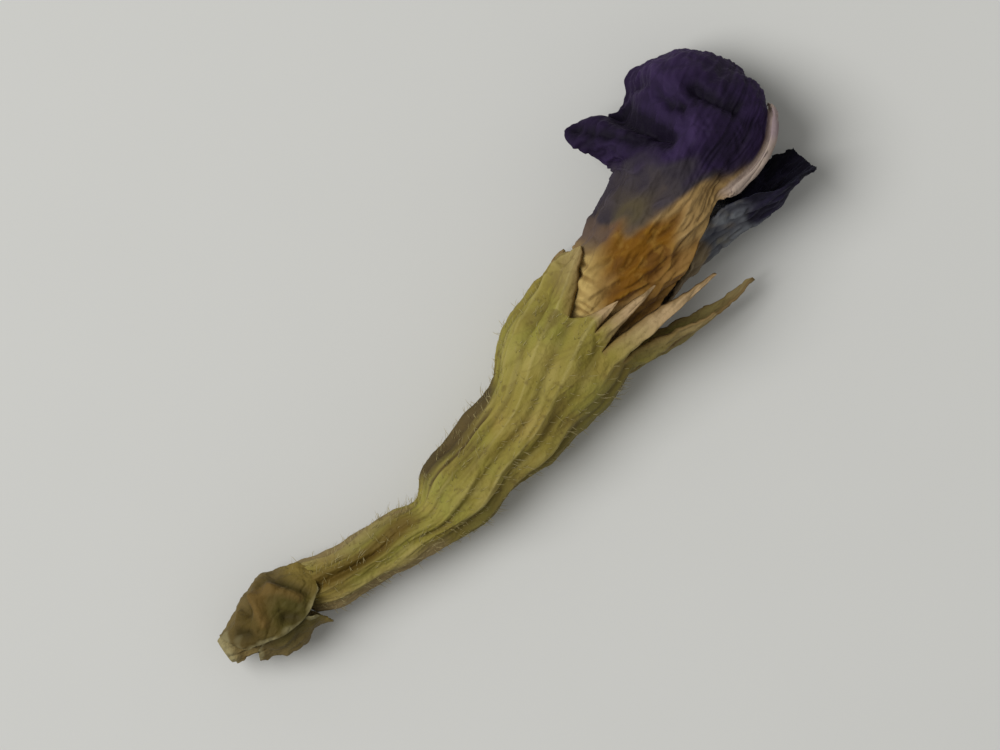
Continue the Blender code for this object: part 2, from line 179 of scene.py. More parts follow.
def normalsOf(sheet, closed=False):
    along = np.gradient(sheet, axis=0)
    if closed:
        across = np.roll(sheet, -1, axis=1) - np.roll(sheet, 1, axis=1)
    else:
        across = np.gradient(sheet, axis=1)
    return unit(np.cross(along, across))


def arcs(rows, count):
    # arc rows (x, middle y, middle z, half width, half height, from, to) as points
    points = []
    for x, y, z, wide, high, first, last in rows:
        angles = np.radians(np.linspace(first, last, count))
        points.append([(x, y + wide * math.cos(a), z + high * math.sin(a)) for a in angles])
    return points


def crumple(points, height, spacing, seed, folds=5, bend=0.0):
    # flat facets between sharp creases, like paper: triangle waves in seeded directions; bend curves them
    random = np.random.default_rng(seed)
    total = np.zeros(points.shape[:-1])
    if bend:
        drift = [ripple(points, 2.5 * spacing, seed + 7 * k, waves=8) for k in range(3)]
        points = points + bend * spacing * np.stack(drift, -1)
    for _ in range(folds):
        direction = unit(random.normal(size=3))
        cycle = points @ direction / (spacing * random.uniform(0.75, 1.5)) + random.uniform()
        total += 4 * np.abs(cycle - np.floor(cycle) - 0.5) - 1
    return height * total / math.sqrt(folds)


def ripple(points, size, seed, stretch=(1, 1, 1), waves=14):
    # a smooth random field about one unit high, with swells of about size mm
    fullTurn = 6.28  # of the sine
    random = np.random.default_rng(seed)
    total = np.zeros(points.shape[:-1])
    for _ in range(waves):
        way = random.normal(size=3)
        way *= fullTurn / (size * random.uniform(0.75, 1.35)) / np.linalg.norm(way)
        total += np.sin(points @ (way / np.array(stretch)) + random.uniform(0, fullTurn))
    return total / math.sqrt(waves / 2)


def ridges(points, size, seed, stretch=(1, 1, 1)):
    # sharp wandering crests between rounded hollows, 1 on a crest and near -1 in a hollow
    return 1 - 1.6 * np.minimum(np.abs(ripple(points, size, seed, stretch)), 1.25)


def creped(points, steps, seed, stretch=(1, 1, 1)):
    # crests inside crests; steps are (height, size) pairs, and every second one has sharp hollows instead
    total = 0
    for k, (height, size) in enumerate(steps):
        total = total + height * (-1) ** k * ridges(points, size, seed + k, stretch)
    return total


def gridQuads(index):
    corners = (index[:-1, :-1], index[1:, :-1], index[1:, 1:], index[:-1, 1:])
    return np.stack(corners, -1).reshape(-1, 4).tolist()


def ringQuads(index):
    # as gridQuads, with the last column joined to the first
    return gridQuads(np.concatenate((index, index[:, :1]), axis=1))


def closedWall(outer, inner, faces):
    # faces of the outer skin, their twins on the inner skin and a rim along every open edge
    count = len(outer)
    sides = {(a, b) for face in faces for a, b in zip(face, face[1:] + face[:1])}
    rim = [[b, a, a + count, b + count] for a, b in sorted(sides) if (b, a) not in sides]
    twins = [[v + count for v in reversed(face)] for face in faces]
    return np.concatenate((outer, inner)), faces + twins + rim


def addPiece(name, points, faces, material, masks, node):
    # points are in mm on the plan; node is the solid that the piece stands for, if there is one
    points = np.array(points)
    points[:, 2] = np.maximum(points[:, 2], 0.005)  # nothing lies under the surface
    mesh = bpy.data.meshes.new(name)
    mesh.from_pydata(((points + planShift) * 0.001).tolist(), [], faces)
    for key, values in masks.items():
        layer = mesh.attributes.new(key, "FLOAT", "POINT")
        layer.data.foreach_set("value", np.asarray(values, np.float32).ravel())
    mesh.shade_smooth()
    mesh.materials.append(material)
    piece = bpy.data.objects.new(name, mesh)
    bpy.context.scene.collection.objects.link(piece)
    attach(piece, "root")
    if node:
        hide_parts(node)
    print(name, "has", len(faces), "faces in place of", node or "no solid")


def addSheet(name, outer, thickness, material, masks, node):
    # a closed thin wall from the grid of its outer skin and the masks on it
    inner = outer - normalsOf(outer) * thickness
    index = np.arange(outer[..., 0].size).reshape(outer.shape[:2])
    points, faces = closedWall(outer.reshape(-1, 3), inner.reshape(-1, 3), gridQuads(index))
    masks = {key: np.tile(np.ravel(values), 2) for key, values in masks.items()}
    addPiece(name, points, faces, material, masks, node)


# Standard petal: tissue-thin, dried hard, so it keeps every crease

petalSkin = {"roughness": 0.75, "gloss": 0.2, "sheen": 0.12}  # shared with the wings

standard = {
    # x, middle y, middle z, half width, half height, angle of the right and of the left margin
    "throat": (
        (-1.4, -2.85, 1.95, 0.50, 0.50, 145, 35),
        (0.6, -2.50, 2.02, 0.88, 0.70, 160, 20),
        (2.6, -2.30, 2.20, 1.32, 0.96, 175, 5),
        (4.3, -2.15, 2.32, 1.64, 1.42, 172, -5),
        (5.6, -1.98, 2.45, 1.94, 1.80, 152, -10),
        (7.2, -1.85, 2.55, 2.38, 2.12, 138, -12),
        (8.4, -1.82, 2.70, 2.42, 2.15, 126, -8),
    ),
    # rows of points from the right margin to the left one
    "limb": (
        ((9.5, -2.9, 4.35), (9.5, -2.4, 4.75), (9.5, -1.7, 5.0), (9.5, -0.8, 4.95), (9.5, 0.2, 4.5),
         (9.2, 0.9, 3.8), (8.8, 1.3, 3.0)),
        ((10.7, -2.45, 4.15), (10.7, -1.95, 4.7), (10.7, -1.1, 5.05), (10.6, 0.0, 4.9), (10.0, 1.3, 4.3),
         (8.8, 2.6, 3.6), (7.4, 4.0, 2.8)),
        ((12.0, -2.75, 3.85), (12.1, -2.1, 4.6), (12.1, -1.0, 5.1), (11.9, 0.2, 4.8), (11.4, 1.2, 4.0),
         (11.1, 1.9, 2.9), (10.7, 2.2, 1.9)),
        ((13.1, -2.4, 3.8), (13.2, -1.8, 4.45), (13.3, -0.7, 4.7), (13.1, 0.7, 4.5), (12.5, 1.9, 3.5),
         (11.8, 2.6, 1.9), (11.2, 3.0, 0.6)),
        ((13.9, -1.8, 3.6), (14.2, -1.2, 3.9), (14.3, -0.3, 3.8), (14.1, 0.8, 3.3), (13.7, 1.6, 2.3),
         (13.0, 2.2, 1.1), (12.5, 2.4, 0.5)),
        ((13.9, -1.5, 3.1), (14.3, -0.9, 2.9), (14.5, 0.0, 2.5), (14.3, 0.8, 1.9), (13.9, 1.3, 1.2),
         (13.3, 1.7, 0.7), (12.9, 1.8, 0.5)),
    ),
    "rootRows": 12,
    "openRows": 256,
    "columns": 150,
    "face": 0.18,  # from the middle surface to the outer face
    "thickness": 0.12,
    "limbX": (8.4, 10.9),  # the throat turns into the limb between these
    # facets' height, size and seed, then the smaller ones' heights and sizes
    "facets": (0.36, 3.0, 7),
    "smallFacets": ((0.06, 1.15), (0.022, 0.45)),
    # valleys seen from above: x and y of both ends, width, depth
    "creases": (
        (10.2, 2.4, 10.6, 0.2, 0.38, 0.55),
        (12.7, 0.8, 13.25, -0.9, 0.26, 0.45),
        (8.6, 3.0, 9.9, 0.9, 0.28, 0.30),
        (10.6, -1.0, 12.2, -1.5, 0.40, 0.20),
        (11.5, 2.2, 11.9, 0.6, 0.30, 0.22),
        (10.4, 0.9, 10.65, 0.3, 0.26, 0.30),
    ),
    "flutes": 13,
    "fluteHeight": 0.06,
    "fluteX": (3.6, 5.5),  # the flutes rise between these
    "crepeX": (2.0, 4.0),
    "throatCrepe": ((0.065, 0.95), (0.036, 0.50), (0.016, 0.24)),
    # veins run out from the throat: height, size as a share of the petal's width
    "veins": ((0.028, 0.050), (0.012, 0.022)),
    "veinReach": 30,
    "crepeSeed": 31,
    # short pale pleats stand across this line where the petal leaves the calyx
    "pleatLine": (3.3, -2.15, 5.4, -0.55, 0.50, 1.0),
    "pleatRise": 0.22,
    "pleatDepth": 0.06,
    "pleatSpacing": 0.55,
    "pleatWander": 0.30,
    # the right margin's roll: where it begins, where it thins out, its radius, and its turn in radians
    "rollX": (10.0, 11.0),
    "rollEndX": (13.2, 14.3),
    "rollRadius": 0.17,
    "rollTurn": 3.9,
    "rollColumns": 14,
    # seen from above, grey lilac begins beyond the first line and violet beyond the second
    "greyLine": ((3.8, 0.4), (5.6, 0.10), (6.5, -0.2), (7.0, -0.9), (7.6, -1.3), (8.4, -1.3), (9.2, -1.3),
                 (10.0, -1.7), (10.6, -2.1), (12.0, -2.6), (14.0, -3.0)),
    "violetLine": ((3.0, 1.8), (7.6, 1.5), (8.5, 0.9), (9.5, 0.1), (10.3, -0.9), (11.0, -1.9), (11.5, -2.3),
                   (12.5, -2.6), (14.0, -2.8)),
    "ochreX": (3.9, 5.2, 7.3, 8.7),  # deep ochre comes in between the first two, and goes between the others
    "blush": (6.1, -0.1, 0.9, 0.6),  # middle and half sizes of a pale pink spot on the throat's left
    "khaki": (7.6, -0.75, 0.75),  # middle and size of an olive spot in the grey
}


def creaseDepth(points, lines):
    # how deep the valleys along the lines are, on the upper side only
    depth = np.zeros(points.shape[:-1])
    for x0, y0, x1, y1, width, deep in lines:
        line = np.array((x1 - x0, y1 - y0))
        offset = points[..., :2] - (x0, y0)
        along = np.clip(offset @ line / (line @ line), 0, 1)
        distance = np.linalg.norm(offset - along[..., None] * line, axis=-1)
        depth += deep * bump(distance, 0, width)
    return depth * (points[..., 2] > 2.0)


def beyondLine(points, line):
    # how far a point lies beyond the line, seen from above, in mm
    line = np.array(line)
    edge = np.interp(points[..., 0], line[:, 0], line[:, 1])
    slope = np.interp(points[..., 0], line[:, 0], np.gradient(line[:, 1], line[:, 0]))
    return (points[..., 1] - edge) / np.sqrt(1 + slope**2)


def paintStandard(tree):
    violet = painted(tree, "violet")
    grey = painted(tree, "grey")
    throat = painted(tree, "throat")
    pleat = painted(tree, "pleat")
    # litCrest is painted highlight on the crests of facets and crepe, shadedHollow painted shade in the
    # hollows
    litCrest = painted(tree, "ridge", 0.55, 0.95)
    shadedHollow = painted(tree, "ridge", 0.45, 0.05)
    return layers(tree, "977b4c", (
        ("bba172", litCrest, 0.6),
        ("664a28", shadedHollow, 0.6),
        ("b08c58", mottle(tree, 1.6, 0.55, 0.70), 0.4),
        ("734b04", throat),
        ("95701f", throat, litCrest, 0.7),
        ("462906", throat, shadedHollow, 0.8),
        ("5c3a0c", throat, mottle(tree, 0.9, 0.50, 0.62), 0.6),
        ("8c6826", throat, mottle(tree, 0.55, 0.54, 0.68), 0.6),
        ("bda262", pleat, 0.95),
        # painted shade in the pleats' valleys
        ("7a5c2c", pleat, painted(tree, "shadedPleatValley", 0.4, 1.0), 0.7),
        ("5b4d44", painted(tree, "blush"), 0.9),
        ("342e35", grey),
        ("494150", grey, litCrest, 0.6),
        ("221c28", grey, shadedHollow, 0.6),
        ("48403a", grey, mottle(tree, 1.4, 0.50, 0.64), 0.35),
        ("544a30", grey, painted(tree, "khaki"), 0.8),
        ("211431", violet),
        ("2f2044", violet, mottle(tree, 2.4, 0.48, 0.7), 0.7),
        ("43305a", violet, litCrest, 0.5),
        ("140b1f", violet, veinNet(tree, 0.9, 0.08, (0.6, 1, 1)), 0.3),
        ("08050e", violet, shadedHollow, 0.8),
        ("a8978a", painted(tree, "rim")),
        ("86747e", painted(tree, "rim"), mottle(tree, 1.2, 0.48, 0.66), 0.7),
    ))


def standardSheet():
    # the petal's middle surface, and each column's place from the right margin, 0, to the left one, 6
    s = standard
    cage = arcs(s["throat"], 7) + [list(row) for row in s["limb"]]
    hidden = np.linspace(0, 2, s["rootRows"], endpoint=False)
    shown = np.linspace(2, len(cage) - 1, s["openRows"])
    columnsAt = np.linspace(0, 6, s["columns"])
    return smoothSheet(cage, np.concatenate((hidden, shown)), columnsAt), columnsAt


def standardCreases(sheet, columnsAt, limb):
    # heights of the limb's facets and of the crepe, and depth of the creases
    s = standard
    x = sheet[..., 0]
    seed = s["crepeSeed"]
    facets = crumple(sheet, *s["facets"], bend=0.12) * limb
    small = sum(crumple(sheet, *step, seed + k, bend=0.25) for k, step in enumerate(s["smallFacets"]))
    steps = np.linalg.norm(np.diff(sheet, axis=0, prepend=sheet[:1]), axis=-1)
    fan = np.stack((np.cumsum(steps, axis=0) / s["veinReach"], columnsAt / 6 + 0 * x, 0 * x), -1)
    veins = creped(fan, s["veins"], seed + 10, (4, 1, 1))
    inThroat = creped(sheet, s["throatCrepe"], seed, (3.2, 1, 1)) * smoothStep(*s["crepeX"], x)
    return facets, inThroat * (1 - limb) + (small + veins) * limb, creaseDepth(sheet, s["creases"])


def standardPleats(sheet):
    # how far the pleats stand out, and their wave: 1 on a crest, -1 in a valley
    s = standard
    x0, y0, x1, y1, *_ = s["pleatLine"]
    along = (sheet[..., 0] * (x1 - x0) + sheet[..., 1] * (y1 - y0)) / math.hypot(x1 - x0, y1 - y0)
    wave = np.cos(2 * math.pi * (along + s["pleatWander"] * ripple(sheet, 1.5, 12)) / s["pleatSpacing"])
    wave = wave * np.clip(0.7 + 0.5 * ripple(sheet, 1.1, 13), 0.1, 1.2)
    return creaseDepth(sheet, (s["pleatLine"],)), wave


def rollMargin(outer, sheet, normals, rolled):
    # the right margin rolls up and back, so its pale inner face shows
    s = standard
    outward = unit(sheet[:, 0] - sheet[:, 2])
    turn = (0.25 + s["rollTurn"] * rolled)[:, None] * np.linspace(1, 0, s["rollColumns"], endpoint=False)
    size = s["rollRadius"] * (0.35 + 0.65 * rolled * (1 - smoothStep(*s["rollEndX"], sheet[:, 0, 0])))
    size = size * (1 + 0.08 * ripple(sheet[:, 0], 2.2, 5))
    roll = np.sin(turn)[..., None] * outward[:, None] + (1 - np.cos(turn))[..., None] * normals[:, :1]
    wrinkle = 0.010 * ripple(outer[:, :1] + roll * 0.8, 0.5, 6, (4, 4, 1))
    rim = outer[:, :1] + roll * size[:, None, None] + roll * wrinkle[..., None]
    return np.concatenate((rim, outer), axis=1)


def standardMasks(sheet, columnsAt, rolled):
    # where each colour lies: 0 to 1 at every point
    s = standard
    x, y = sheet[..., 0], sheet[..., 1]
    speck = ripple(sheet, 1.1, 3, (1.6, 1, 1))
    violet = smoothStep(-0.25, 0.5, beyondLine(sheet, s["violetLine"]) + 0.22 * speck)
    grey = smoothStep(-0.30, 0.35, beyondLine(sheet, s["greyLine"]) + 0.12 * speck)
    fadeIn, full, fading, gone = s["ochreX"]
    throat = smoothStep(fadeIn, full, x + 0.4 * speck) * (1 - smoothStep(fading, gone, x + 0.5 * speck))
    throat *= 1 - grey
    throat *= 1 - 0.35 * smoothStep(-2.4, -3.2, y)  # yellower low on the side
    blushX, blushY, blushLong, blushWide = s["blush"]
    blush = bump(np.hypot((x - blushX) / blushLong, (y - blushY) / blushWide) + 0.15 * speck, 0, 1)
    khakiX, khakiY, khakiSize = s["khaki"]
    khaki = bump(np.hypot(x - khakiX, y - khakiY) + 0.2 * speck, 0, khakiSize)
    rim = rolled[:, None] * (1 - smoothStep(0.0, 0.22, columnsAt))[None, :]
    return {"violet": violet, "grey": grey, "throat": throat, "blush": blush, "khaki": khaki, "rim": rim}


def makeStandard():
    s = standard
    sheet, columnsAt = standardSheet()
    normals = normalsOf(sheet)
    x = sheet[..., 0]
    limb = smoothStep(*s["limbX"], x)
    _, middleY, middleZ, *_ = s["throat"][-1]
    angle = np.arctan2(sheet[..., 2] - middleZ, sheet[..., 1] - middleY)
    openThroat = smoothStep(*s["fluteX"], x) * (1 - limb)
    flutes = s["fluteHeight"] * np.cos(angle * s["flutes"]) * openThroat
    facets, crepe, deep = standardCreases(sheet, columnsAt, limb)
    pleat, pleatWave = standardPleats(sheet)
    relief = flutes + facets - deep + crepe + pleat * (s["pleatRise"] + s["pleatDepth"] * pleatWave)
    rolled = smoothStep(*s["rollX"], x[:, 0])
    calm = 1 - 0.95 * rolled[:, None] * (1 - smoothStep(0.0, 0.55, columnsAt))[None, :]  # smooth by the roll
    outer = rollMargin(sheet + normals * (relief * calm + s["face"])[..., None], sheet, normals, rolled)
    masks = standardMasks(sheet, columnsAt, rolled)
    # ridge is the relief that the painted highlight and shade follow: high on crests, low in hollows
    masks["ridge"] = np.clip(0.5 + (0.35 * facets + 1.6 * crepe - 0.9 * deep) / 0.62, 0, 1)
    masks["pleat"] = pleat
    masks["shadedPleatValley"] = 0.5 - 0.5 * pleatWave
    for key, values in masks.items():
        edge = rolled[:, None] if key == "rim" else values[:, :1]  # goes on over the roll
        masks[key] = np.concatenate((np.repeat(edge, s["rollColumns"], 1), values), axis=1)
    # dried petal tissue: dull, with the faint sheen of its velvety skin
    grain = ((0.15, 0.010), (0.4, 0.02))
    material = makeMaterial("driedVioletPetal", paintStandard, grain, sheenTint="7f66a0", **petalSkin)
    addSheet("standardPetal", outer, s["thickness"], material, masks, "standard_petal")


# Wings: two thin dark blades under the standard, pale and bluish where they narrow

wing = {
    # the right wing, in rows as the standard's throat has, from the root
    "arcs": (
        (2.2, -2.35, 2.08, 1.15, 1.12, 200, 226),
        (3.4, -2.28, 2.14, 1.32, 1.22, 196, 226),
        (5.0, -2.20, 2.20, 1.75, 1.75, 192, 230),
        (7.0, -2.05, 2.25, 1.98, 1.88, 152, 252),
        (9.0, -2.00, 2.35, 2.46, 1.84, 106, 258),
        (11.0, -1.95, 2.45, 2.95, 1.74, 117, 258),
        (12.6, -2.00, 2.50, 2.90, 1.90, 142, 250),
        (13.7, -2.15, 2.45, 2.50, 1.80, 178, 238),
    ),
    "leftScale": 0.88,  # the hidden left wing is this much of the right one's length
    "leftTop": 197,  # and its upper margin stays under the standard
    "crumple": (0.14, 2.4),  # height, size
    "crumpleX": (4.0, 7.0, 12.0, 13.5),  # it grows between the first two, and fades between the others
    "crepe": ((0.07, 1.1), (0.04, 0.5), (0.018, 0.25)),
    "crepeX": (3.0, 5.5),
    "clawX": (10.0, 11.2),  # the pale claw ends between these
    "brownX": (7.8, 9.2),  # and the brown on it between these
    "rows": 170,
    "columns": 90,
    "face": 0.15,
    "thickness": 0.12,
}


def paintWing(tree):
    # litCrest is painted highlight on the crumples' crests, shadedHollow painted shade in their hollows
    litCrest = painted(tree, "ridge", 0.55, 0.95)
    shadedHollow = painted(tree, "ridge", 0.45, 0.05)
    claw = painted(tree, "claw")
    brown = painted(tree, "brown")
    return layers(tree, "0f0b1a", (
        ("171226", mottle(tree, 1.6, 0.48, 0.7), 0.6),
        ("262038", litCrest, 0.6),
        ("05040a", shadedHollow, 0.85),
        ("4c4d52", claw),
        ("6f6a5c", claw, mottle(tree, 1.0, 0.50, 0.66), 0.7),
        ("777b7f", claw, litCrest, 0.6),
        ("2b2c38", claw, shadedHollow, 0.7),
        ("7c6a4e", brown, 0.85),
        ("94825e", brown, litCrest, 0.6),
        ("54442f", brown, shadedHollow, 0.7),
        ("6a5a3c", brown, mottle(tree, 0.7, 0.48, 0.66, 3.0, (0.3, 1, 1)), 0.6),
    ))


def makeWing(name, node, rows, seed, material):
    w = wing
    rowsAt, columnsAt = np.linspace(0, len(rows) - 1, w["rows"]), np.linspace(0, 2, w["columns"])
    sheet = smoothSheet(arcs(rows, 3), rowsAt, columnsAt)
    x = sheet[..., 0]
    start, full, fading, gone = w["crumpleX"]
    wide = smoothStep(start, full, x) * (1 - smoothStep(fading, gone, x))
    coarse = crumple(sheet, *w["crumple"], seed) * wide
    crepe = creped(sheet, w["crepe"], seed + 50, (3, 1, 1))
    relief = coarse + crepe * smoothStep(*w["crepeX"], x) + w["face"]
    outer = sheet + normalsOf(sheet) * relief[..., None]
    speck = 0.4 * ripple(sheet, 1.2, seed + 4)
    masks = {
        # the relief that the painted highlight and shade follow
        "ridge": np.clip(0.5 + (coarse + 2.5 * crepe) / 0.6, 0, 1),
        "claw": 1 - smoothStep(*w["clawX"], x + speck),
        "brown": 1 - smoothStep(*w["brownX"], x + speck),
    }
    addSheet(name, outer, w["thickness"], material, masks, node)


def makeWings():
    # dried petal tissue, nearly black: dull, with a faint bluish sheen
    material = makeMaterial("driedIndigoPetal", paintWing, ((0.15, 0.010),), sheenTint="7f7fa8", **petalSkin)
    w = wing
    rootX = w["arcs"][0][0]
    # mirrored, an angle a is 540 - a
    left = [
        (rootX + (x - rootX) * w["leftScale"], y, z, wide, high, 540 - max(first, w["leftTop"]), 540 - last)
        for x, y, z, wide, high, first, last in w["arcs"]
    ]
    right = [(x, y, z, wide, high, last, first) for x, y, z, wide, high, first, last in w["arcs"]]
    makeWing("wingPetalRight", "wing_petal_right", right, 3, material)
    makeWing("wingPetalLeft", "wing_petal_left", left, 5, material)


# Keel: two small petals grown together into a boat

keel = {
    # as the wing's rows
    "arcs": (
        (1.8, -2.40, 2.02, 0.98, 0.98, 283, 257),
        (3.4, -2.28, 2.12, 0.92, 0.92, 290, 250),
        (5.0, -2.20, 2.15, 0.90, 0.90, 304, 236),
        (7.0, -2.05, 2.20, 0.92, 0.92, 330, 210),
        (8.6, -2.00, 2.30, 1.00, 1.00, 342, 198),
        (9.8, -2.00, 2.40, 0.80, 0.80, 340, 200),
        (10.5, -2.00, 2.40, 0.50, 0.50, 330, 210),
    ),
    "rows": 110,
    "columns": 70,
    "thickness": 0.16,
    "face": 0.12,
    "crepe": ((0.04, 0.8), (0.018, 0.3)),
    "seamHeight": 0.08,
    "seamWidth": 0.035,  # as a share of the boat's girth
    "tipX": (8.0, 10.5),  # the lilac of the tip comes in between these
}


def paintKeel(tree):
    return layers(tree, "a3966f", (
        ("82785f", mottle(tree, 1.0, 0.45, 0.7), 0.5),
        ("5d5474", painted(tree, "tip")),
        ("8c6c35", painted(tree, "seam", 0.2, 0.9, 0.7)),
    ))


def makeKeel():
    k = keel
    rowsAt, columnsAt = np.linspace(0, 6, k["rows"]), np.linspace(0, 4, k["columns"])
    sheet = smoothSheet(arcs(k["arcs"], 5), rowsAt, columnsAt)
    across = np.broadcast_to(columnsAt / 4, sheet.shape[:2])
    seam = bump(across, 0.5, k["seamWidth"])
    crepe = creped(sheet, k["crepe"], 71, (3, 1, 1))
    outer = sheet + normalsOf(sheet) * (k["face"] + crepe + k["seamHeight"] * seam)[..., None]
    masks = {"seam": seam, "tip": smoothStep(*k["tipX"], sheet[..., 0] + 0.5 * ripple(sheet, 1.0, 72))}
    # dried keel: buff and a little waxy where no light reached it, lilac at its tip
    material = makeMaterial("driedKeel", paintKeel, ((0.15, 0.01),), roughness=0.7, gloss=0.3)
    addSheet("keelPetals", outer, k["thickness"], material, masks, "keel_petals")


# Calyx: a papery ribbed tube with five lobes

calyx = {
    "baseX": -11.75,
    "cavityX": -6.2,  # the inner skin starts here
    "mouthX": 3.1,
    "rows": 168,
    "columns": 40,  # the lobes' places are counted in these
    "fineColumns": 5,  # fine ones in each
    "wave": 0.28,  # how far the mouth's edge swings along x, five times round
    "tears": ((0.12, 1.0, 8), (0.06, 0.35, 9)),  # of the mouth's edge: height, size, seed
    "ribs": 10,
    "ribHeight": 0.20,
    "twist": 0.05,  # of the ribs, in radians for each mm
    "nerve": (0.05, 0.035),  # fine ridge along each rib: width as a share of the rib's, height
    "meanRadius": 1.7,  # at which creases and dents have their true size
    "dome": 0.25,  # how far the closed base bulges
    "mouthCurl": 0.20,  # how far the mouth's edge turns in
    "narrowX": (-7.2, -5.6),  # the narrow part's own colours end between these
    "crown": (1.45, 0.95),  # its top, which the painted highlight along its sides leaves free: angle, width
    "stripeWidth": 0.5,  # of the brown along its groove
    "shadedFlank": (-0.70, -0.97),  # painted shade: the right flank darkens between the angles with these cosines
    # the long groove on the narrow part: its angle at each x, its width and depth
    "grooveX": (-11.6, -10.2, -8.9, -7.5, -6.5),
    "grooveAngle": (1.40, 1.50, 1.38, 1.26, 1.15),
    "grooveWidth": 0.24,
    "grooveDepth": 0.15,
    # painted shade darkens this flat fold: it comes in between the first two, and goes between the others
    "foldX": (-6.2, -4.9, -2.2, -0.4),
    "fold": (0.30, 0.46),  # angle, width
    "foldLine": (0.86, 0.06, 0.10),  # the crease beside it: angle, width, depth
    # x, upper y, lower y, middle z, half height
    "outline": (
        (-11.75, -0.55, -1.90, 1.58, 0.66),
        (-11.0, -0.42, -2.50, 1.60, 0.95),
        (-10.0, -0.88, -2.85, 1.62, 1.00),
        (-8.5, -1.36, -3.33, 1.65, 0.95),
        (-7.0, -1.56, -3.72, 1.68, 1.00),
        (-6.0, -1.95, -4.14, 1.68, 1.15),
        (-5.0, -1.48, -4.40, 1.70, 1.40),
        (-3.0, -1.26, -4.40, 1.76, 1.58),
        (-1.0, -1.06, -4.72, 1.84, 1.78),
        (1.0, -0.14, -4.90, 1.96, 2.02),
        (3.1, 0.42, -5.00, 2.18, 2.28),
    ),
    # first and last column, bend point, tip; the second and third are slivers torn off the fourth
    "lobes": (
        (-2, 8, (4.5, 0.42, 3.50), (5.4, -0.05, 3.85)),
        (9, 11, (4.0, -2.40, 4.60), (4.8, -2.50, 4.60)),
        (11, 13, (4.7, -3.06, 4.85), (6.2, -3.16, 4.72)),
        (13, 16, (5.5, -4.28, 4.55), (8.1, -4.62, 4.25)),
        (16, 20, (4.9, -5.05, 3.35), (7.0, -5.62, 3.20)),
        (21, 25, (6.0, -5.75, 1.50), (9.0, -5.75, 1.30)),
        (31, 36, (4.2, 0.25, 0.45), (4.9, 0.42, 0.95)),
    ),
    "spikes": (1, 2, 3),  # the lobes that are pale and streaked, counted from 0
    "lobeRows": 60,
    "lobeAxis": (0.0, -2.3, 2.18),  # the lobes stand round a line along x through this point
    "lobeCup": 0.35,
    "lobeCrepe": ((0.05, 0.8), (0.03, 0.35), (0.012, 0.18)),
    "midrib": (0.08, 0.04),  # width as a share of the lobe's half, height
    "tipWidth": 0.02,
    "wall": 0.22,
    "tipWall": 0.10,
    "dents": (0.11, 2.8, 83),  # height, size, seed
    "creases": ((0.040, 1.0), (0.024, 0.45), (0.010, 0.2)),  # height, size
}


def calyxRelief(x, angle):
    # height over the tube's smooth wall, and the masks that its colours follow
    c = calyx
    radius = c["meanRadius"]
    around = np.stack(np.broadcast_arrays(x, radius * np.cos(angle), radius * np.sin(angle)), -1)
    wander = angle + 0.07 * ripple(around, 3.0, 61, (2.5, 1, 1))
    cycle = c["ribs"] / 2 * (wander + c["twist"] * x) / math.pi
    off = np.abs(cycle - np.round(cycle))  # 0 on the crest of a rib, a half in the valley
    strength = np.clip(0.85 + 0.35 * ripple(around, 2.6, 62, (3, 1, 1)), 0.25, 1.4)
    rib = strength * (0.6 * (np.cos(np.pi * off) - 0.5) + 0.25 * np.cos(2 * np.pi * off))
    middle = np.interp(x, c["grooveX"], c["grooveAngle"])
    endX = c["grooveX"][-1]
    groove = bump(angle, middle, c["grooveWidth"]) * (1 - smoothStep(endX - 1, endX + 1, x))
    nerveWidth, nerveHeight = c["nerve"]
    nerve = strength * bump(off, 0.0, nerveWidth)
    creases = creped(around, c["creases"], 63, (5, 1, 1))
    dents = crumple(around, *c["dents"])
    patch = ripple(around, 1.4, 65, (2.5, 1, 1))
    start, full, fading, gone = c["foldX"]
    inFold = smoothStep(start, full, x + 0.25 * patch) * (1 - smoothStep(fading, gone, x + 0.4 * patch))
    foldAngle, foldWidth = c["fold"]
    fold = bump(angle, foldAngle + 0.08 * patch, foldWidth) * inFold
    lineAngle, lineWidth, lineDepth = c["foldLine"]
    foldLine = bump(angle, lineAngle, lineWidth) * inFold
    height = c["ribHeight"] * rib - c["grooveDepth"] * groove + nerveHeight * nerve
    height = height + creases + dents - lineDepth * foldLine
    narrow = 1 - smoothStep(*c["narrowX"], x + 0.25 * ripple(around, 2.0, 64, (2, 1, 1)))
    masks = {
        "rib": 1 - 2 * off,
        "nerve": nerve,
        "groove": groove,
        "fold": fold,
        "foldLine": foldLine,
        "shadedFlank": smoothStep(*c["shadedFlank"], np.cos(angle)),
        "side": (1 - bump(angle, *c["crown"])) * narrow,
        "stripe": bump(angle, middle - 0.05, c["stripeWidth"]) * narrow,
        # the relief of creases and dents, which the painted highlight and shade follow
        "reliefShading": 0.5 + (2.5 * creases + dents) / 0.5,
    }
    masks.update(dict.fromkeys(("lobe", "margin", "spike"), 0.0))  # for the lobes alone
    return height, {key: np.broadcast_to(values, off.shape) for key, values in masks.items()}


def calyxTube(inner):
    # one skin of the tube as rings from its base, or from the cavity's end, to the mouth, and its masks
    c = calyx
    x = np.linspace(c["cavityX"] if inner else c["baseX"], c["mouthX"], c["rows"])[:, None]
    angle = np.linspace(0, 2 * math.pi, c["columns"] * c["fineColumns"], endpoint=False)[None, :]
    table = np.array(c["outline"])
    upper, lower, z, high = np.moveaxis(smoothCurve(table[:, 0], table[:, 1:], x[:, 0]), -1, 0)[:, :, None]
    y, wide = (upper + lower) / 2, (upper - lower) / 2
    nearMouth = np.maximum(0, 1 + (x - c["mouthX"]) / 2)
    edge = c["wave"] * np.sin(5 * angle) * nearMouth
    ring = np.stack((0 * angle, 2 * np.cos(angle), 2 * np.sin(angle)), -1)
    edge = edge + nearMouth**4 * sum(crumple(ring, *tear) for tear in c["tears"])
    height, masks = calyxRelief(x, angle)
    grow = height - (c["wall"] if inner else 0) - c["mouthCurl"] * nearMouth**2
    y, z = y + (wide + grow) * np.cos(angle), z + (high + grow) * np.sin(angle)
    return np.stack((x + edge, y, z), -1), masks


